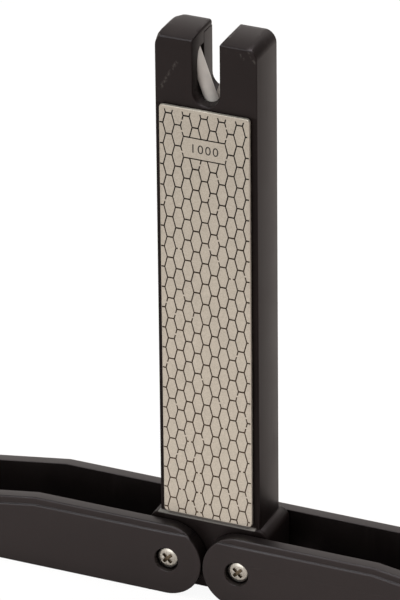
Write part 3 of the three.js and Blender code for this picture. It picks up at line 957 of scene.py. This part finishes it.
class SHARPENER_OT_mouldings(Operator):
    """Dress the paddle, the notch retainer and the two handles in black plastic"""

    bl_idname = "sharpener.mouldings"
    bl_label = "Black Mouldings"

    def execute(self, context):
        finishes = context.scene.sharpener_finishes
        edge = context.scene.sharpener_mouldings.plastic_edge
        paddle = plastic_finish(
            "paddle_plastic", finishes.paddle_plastic, finishes.paddle_gloss, finishes
        )
        handle = plastic_finish(
            "handle_plastic", finishes.handle_plastic, finishes.handle_gloss, finishes
        )
        tree = paddle.node_tree
        bulge_sides(tree, shader_of(tree), finishes.side_bulge)
        # Scuffs, and a painted highlight along the ledge
        paint_scuffs_and_ledge_highlight(tree, shader_of(tree), finishes.scuff_and_highlight)
        # Painted shade: weaker reflections on the borders beside the plates
        shade_plate_borders(tree, shader_of(tree), finishes.plastic_tint)
        dress("paddle_body", "paddle", "black_plastic", paddle, edge, crown_head)
        dress("notch_retainer", "paddle", "black_plastic", paddle, edge)
        for side in ("left", "right"):
            dress(side + "_handle", side + "_grip", "black_plastic", handle, edge)
        return {"FINISHED"}


class SHARPENER_OT_plates(Operator):
    """Cut the cell lines into both abrasive plates and coat them"""

    bl_idname = "sharpener.plates"
    bl_label = "Diamond Plates"

    def execute(self, context):
        finishes = context.scene.sharpener_finishes
        plates = context.scene.sharpener_plates
        coating = coating_finish(finishes)
        groove = plain_finish("cell_lines", finishes.groove, **GROOVE_LOOK)
        groove_shader = shader_of(groove.node_tree)
        groove_shader.inputs["Specular IOR Level"].default_value = GROOVE_GLOSS
        # Painted light: the cell lines are much lighter at the foot and darker at the top
        paint_light_by_height(groove.node_tree, "front_diamond_plate", *GROOVE_LIGHT_SHARES)
        tree = cell_tree()
        for name, turn in (("front", FRONT_TURN), ("rear", REAR_TURN)):
            node = name + "_diamond_plate"
            low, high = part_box(node)
            face = low.y if name == "front" else high.y
            values = cell_values(plates, low, high)
            values["Number Window"] = plates.show_number and name == "front"
            values["Turn"] = turn
            values["Place"] = (0.0, face, low.z)
            values["Coating"] = coating
            values["Groove"] = groove
            carrier = carrier_of(merged_mesh(node))
            modifier = carrier.modifiers.new("cells", "NODES")
            modifier.node_group = tree
            set_inputs(modifier, values)
            mesh = plain_mesh(carrier)
            if len(mesh.materials) < 2:
                raise RuntimeError("the cell lines were not cut into " + node)
            place_piece(name + "_plate_dressed", mesh, "paddle", "diamond_plate", node)
        return {"FINISHED"}


class SHARPENER_OT_grit_number(Operator):
    """Print a plain number in the window of the front plate"""

    bl_idname = "sharpener.grit_number"
    bl_label = "Grit Number"

    def execute(self, context):
        plates = context.scene.sharpener_plates
        finishes = context.scene.sharpener_finishes
        text = bpy.data.curves.new("grit_number", "FONT")
        text.body = plates.number
        text.align_x = "CENTER"
        text.align_y = "CENTER"
        text.space_character = NUMBER_SPACING
        carrier = bpy.data.objects.new("grit_number_text", text)
        context.scene.collection.objects.link(carrier)
        text.extrude = plates.number_rise
        mesh = plain_mesh(carrier)
        heights = [vertex.co.y for vertex in mesh.vertices]
        scale = plates.number_height / (max(heights) - min(heights))
        middle = (max(heights) + min(heights)) / 2
        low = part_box("front_diamond_plate")[0]
        centre = low.z + plates.first_edge - WINDOW_DROP * plates.row_pitch
        place = Matrix.Translation((0.0, low.y, centre))
        turn = Euler(FRONT_TURN).to_matrix().to_4x4()
        size = Matrix.Diagonal((scale, scale, 1.0, 1.0))
        mesh.transform(place @ turn @ size @ Matrix.Translation((0.0, -middle, 0.0)))
        set_material(mesh, plain_finish("number_print", finishes.groove, **PRINT_LOOK))
        place_piece("grit_number_print", mesh, "paddle", "diamond_plate")
        return {"FINISHED"}


class SHARPENER_OT_pads(Operator):
    """Give the adhesive pads behind the plates their finish"""

    bl_idname = "sharpener.pads"
    bl_label = "Adhesive Pads"

    def execute(self, context):
        colour = context.scene.sharpener_finishes.adhesive
        adhesive = plain_finish("adhesive_foam", colour, **FOAM_LOOK)
        for node in ("front_adhesive_pad", "rear_adhesive_pad"):
            set_material(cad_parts[node].data, adhesive)
        return {"FINISHED"}


class SHARPENER_OT_bars(Operator):
    """Dress the two ceramic bars that cross in the notch"""

    bl_idname = "sharpener.bars"
    bl_label = "Ceramic Bars"

    def execute(self, context):
        colour = context.scene.sharpener_finishes.ceramic
        edge = context.scene.sharpener_mouldings.ceramic_edge
        ceramic = plain_finish("fired_ceramic", colour, **CERAMIC_LOOK)
        # Painted light: the bars are lighter at the foot and darker at the top
        paint_light_by_height(ceramic.node_tree, "left_ceramic_bar", *CERAMIC_LIGHT_SHARES)
        for side in ("left", "right"):
            dress(side + "_ceramic_bar", "paddle", "ceramic", ceramic, edge)
        return {"FINISHED"}


class SHARPENER_OT_pivots(Operator):
    """Dress the screws and nuts and finish the bushes and washers of both pivots"""

    bl_idname = "sharpener.pivots"
    bl_label = "Pivots"

    def execute(self, context):
        finishes = context.scene.sharpener_finishes
        edge = context.scene.sharpener_mouldings.metal_edge
        nickel = plain_finish("bright_nickel", finishes.nickel, **NICKEL_LOOK)
        recess_shade = plain_finish("shaded_recess_nickel", finishes.recess_shade, **RECESS_SHADE_LOOK)
        nylon = plain_finish("washer_nylon", finishes.nylon, **NYLON_LOOK)
        for side in ("left", "right"):
            screw, nut, grip = side + "_pivot_screw", side + "_pivot_nut", side + "_grip"
            head = dress(screw, grip, "nickel", nickel, edge)
            # Painted shade in the cross recess
            shade_recess(head, screw, recess_shade)
            dress(nut, grip, "nickel", nickel, edge)
            set_material(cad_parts[side + "_pivot_bush"].data, nickel)
            for place in ("front", "rear"):
                set_material(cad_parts[f"{side}_{place}_washer"].data, nylon)
        return {"FINISHED"}


def seen_by(tree, *rays):
    """One for the named kinds of ray and nought for all others."""
    path = add_node(tree, "ShaderNodeLightPath").outputs
    seen = path[f"Is {rays[0]} Ray"]
    for ray in rays[1:]:
        seen = maths(tree, "MAXIMUM", seen, path[f"Is {ray} Ray"])
    return seen


def floor_finish(level, shadow):
    """Floor that looks like the sky behind it, apart from the object's shadow."""
    material = bpy.data.materials.new("studio_floor")
    material.use_nodes = True
    tree = material.node_tree
    tree.nodes.clear()
    matt = add_node(tree, "ShaderNodeBsdfDiffuse", {"Color": shade(FLOOR_TINT, level)})
    clear = add_node(tree, "ShaderNodeBsdfTransparent")
    share = multiplied(tree, seen_by(tree, "Camera", "Transmission"), 1 - shadow)
    inputs = {0: share, 1: matt.outputs[0], 2: clear.outputs[0]}
    mix = add_node(tree, "ShaderNodeMixShader", inputs)
    add_node(tree, "ShaderNodeOutputMaterial", {"Surface": mix.outputs[0]})
    return material


def studio_world(strength):
    """Sky shown white, with even light; reflections see it warmer, dim above and on the right."""
    world = bpy.data.worlds.new("studio_sky")
    world.use_nodes = True
    tree = world.node_tree
    tree.nodes.clear()
    place = add_node(tree, "ShaderNodeTexCoord").outputs["Generated"]
    parts = split(tree, place)
    mirrored = spread(tree, parts["Z"], HORIZON, CEILING, *CEILING_RISE)
    dimmed = spread(tree, parts["X"], 1.0, DIM_SIDE, *DIM_REACH)
    mirrored = multiplied(tree, mirrored, dimmed)
    glossy = seen_by(tree, "Glossy")
    level = spread(tree, glossy, strength, mirrored, 0.0, 1.0)
    colour = two_tone(tree, glossy, (1.0, 1.0, 1.0, 1.0), (*REFLECTION_TINT, 1.0))
    shown = seen_by(tree, "Camera", "Transmission")
    level = spread(tree, shown, level, SKY_SHOWN, 0.0, 1.0)
    sky = add_node(tree, "ShaderNodeBackground", {"Color": colour, "Strength": level})
    add_node(tree, "ShaderNodeOutputWorld", {"Surface": sky.outputs[0]})
    return world


def soft_light(name, power, target, size, place, colour=(1.0, 1.0, 1.0)):
    """Square soft light aimed at a point."""
    light = bpy.data.lights.new(name, "AREA")
    light.energy = power
    light.color = colour
    light.size = size
    lamp = bpy.data.objects.new(name, light)
    lamp.location = place
    lamp.rotation_mode = "QUATERNION"
    lamp.rotation_quaternion = (target - Vector(place)).to_track_quat("-Z", "Y")
    lamp.visible_camera = False
    bpy.context.scene.collection.objects.link(lamp)


def studio_camera(studio, target):
    """Camera at the photograph's viewing angle."""
    azimuth, elevation = studio.azimuth, studio.elevation
    flat = math.cos(elevation)
    back = Vector((math.sin(azimuth) * flat, -math.cos(azimuth) * flat, math.sin(elevation)))
    right = Vector((math.cos(azimuth), math.sin(azimuth), 0.0))
    up = back.cross(right)
    across = math.cos(studio.roll) * right + math.sin(studio.roll) * up
    above = math.cos(studio.roll) * up - math.sin(studio.roll) * right
    data = bpy.data.cameras.new("studio_camera")
    data.sensor_width = SENSOR
    data.lens = studio.focal_pixels * SENSOR / FRAME_HEIGHT
    data.clip_end = FLOOR_SIZE
    camera = bpy.data.objects.new("studio_camera", data)
    turn = Matrix((across, above, back)).transposed().to_4x4()
    camera.matrix_world = Matrix.Translation(target + back * studio.distance) @ turn
    bpy.context.scene.collection.objects.link(camera)
    bpy.context.scene.camera = camera


class SHARPENER_OT_stage(Operator):
    """Set up the floor, the lights and the camera"""

    bl_idname = "sharpener.stage"
    bl_label = "Studio"

    def execute(self, context):
        studio = context.scene.sharpener_studio
        target = Vector((studio.target_side, 0.0, studio.target_rise))
        work = bmesh.new()
        bmesh.ops.create_grid(work, x_segments=1, y_segments=1, size=FLOOR_SIZE / 2)
        bmesh.ops.translate(work, verts=work.verts, vec=(0.0, 0.0, -FLOOR_DROP))
        mesh = bpy.data.meshes.new("studio_floor")
        work.to_mesh(mesh)
        work.free()
        set_material(mesh, floor_finish(studio.floor, studio.shadow))
        floor = bpy.data.objects.new("studio_floor", mesh)
        context.scene.collection.objects.link(floor)
        context.scene.world = studio_world(studio.sky)
        soft_light("key_light", studio.key_power, target, **KEY_LIGHT)
        soft_light("fill_light", studio.fill_power, target, **FILL_LIGHT)
        soft_light("edge_light", studio.edge_power, target, **EDGE_LIGHT)
        studio_camera(studio, target)
        context.scene.view_settings.view_transform = "Standard"
        return {"FINISHED"}


class SHARPENER_PT_panel(Panel):
    """Lists the steps and the sizes and colours that they read"""

    bl_idname = "SHARPENER_PT_panel"
    bl_label = "Folding Sharpener"
    bl_space_type = "VIEW_3D"
    bl_region_type = "UI"
    bl_category = "Sharpener"

    def draw(self, context):
        layout = self.layout
        for operator in STEPS:
            layout.operator(operator.bl_idname)
        for name, group in SETTINGS.items():
            box = layout.box()
            box.label(text=group.__doc__)
            for key in group.__annotations__:
                box.prop(getattr(context.scene, name), key)


SETTINGS = {
    "sharpener_finishes": SharpenerFinishes,
    "sharpener_mouldings": SharpenerMouldings,
    "sharpener_plates": SharpenerPlates,
    "sharpener_studio": SharpenerStudio,
}
STEPS = (
    SHARPENER_OT_mouldings,
    SHARPENER_OT_plates,
    SHARPENER_OT_grit_number,
    SHARPENER_OT_pads,
    SHARPENER_OT_bars,
    SHARPENER_OT_pivots,
    SHARPENER_OT_stage,
)
CLASSES = (*SETTINGS.values(), *STEPS, SHARPENER_PT_panel)


def register():
    """Registers the classes and puts the settings on the scene."""
    for item in CLASSES:
        bpy.utils.register_class(item)
    for name, group in SETTINGS.items():
        setattr(bpy.types.Scene, name, PointerProperty(type=group))


def unregister():
    """Takes the settings and classes away again."""
    for name in SETTINGS:
        delattr(bpy.types.Scene, name)
    for item in reversed(CLASSES):
        bpy.utils.unregister_class(item)


def main():
    """Builds every piece and the studio."""
    register()
    bpy.ops.sharpener.mouldings()
    bpy.ops.sharpener.plates()
    if bpy.context.scene.sharpener_plates.show_number:
        bpy.ops.sharpener.grit_number()
    bpy.ops.sharpener.pads()
    bpy.ops.sharpener.bars()
    bpy.ops.sharpener.pivots()
    bpy.ops.sharpener.stage()


if __name__ == "__main__":
    main()
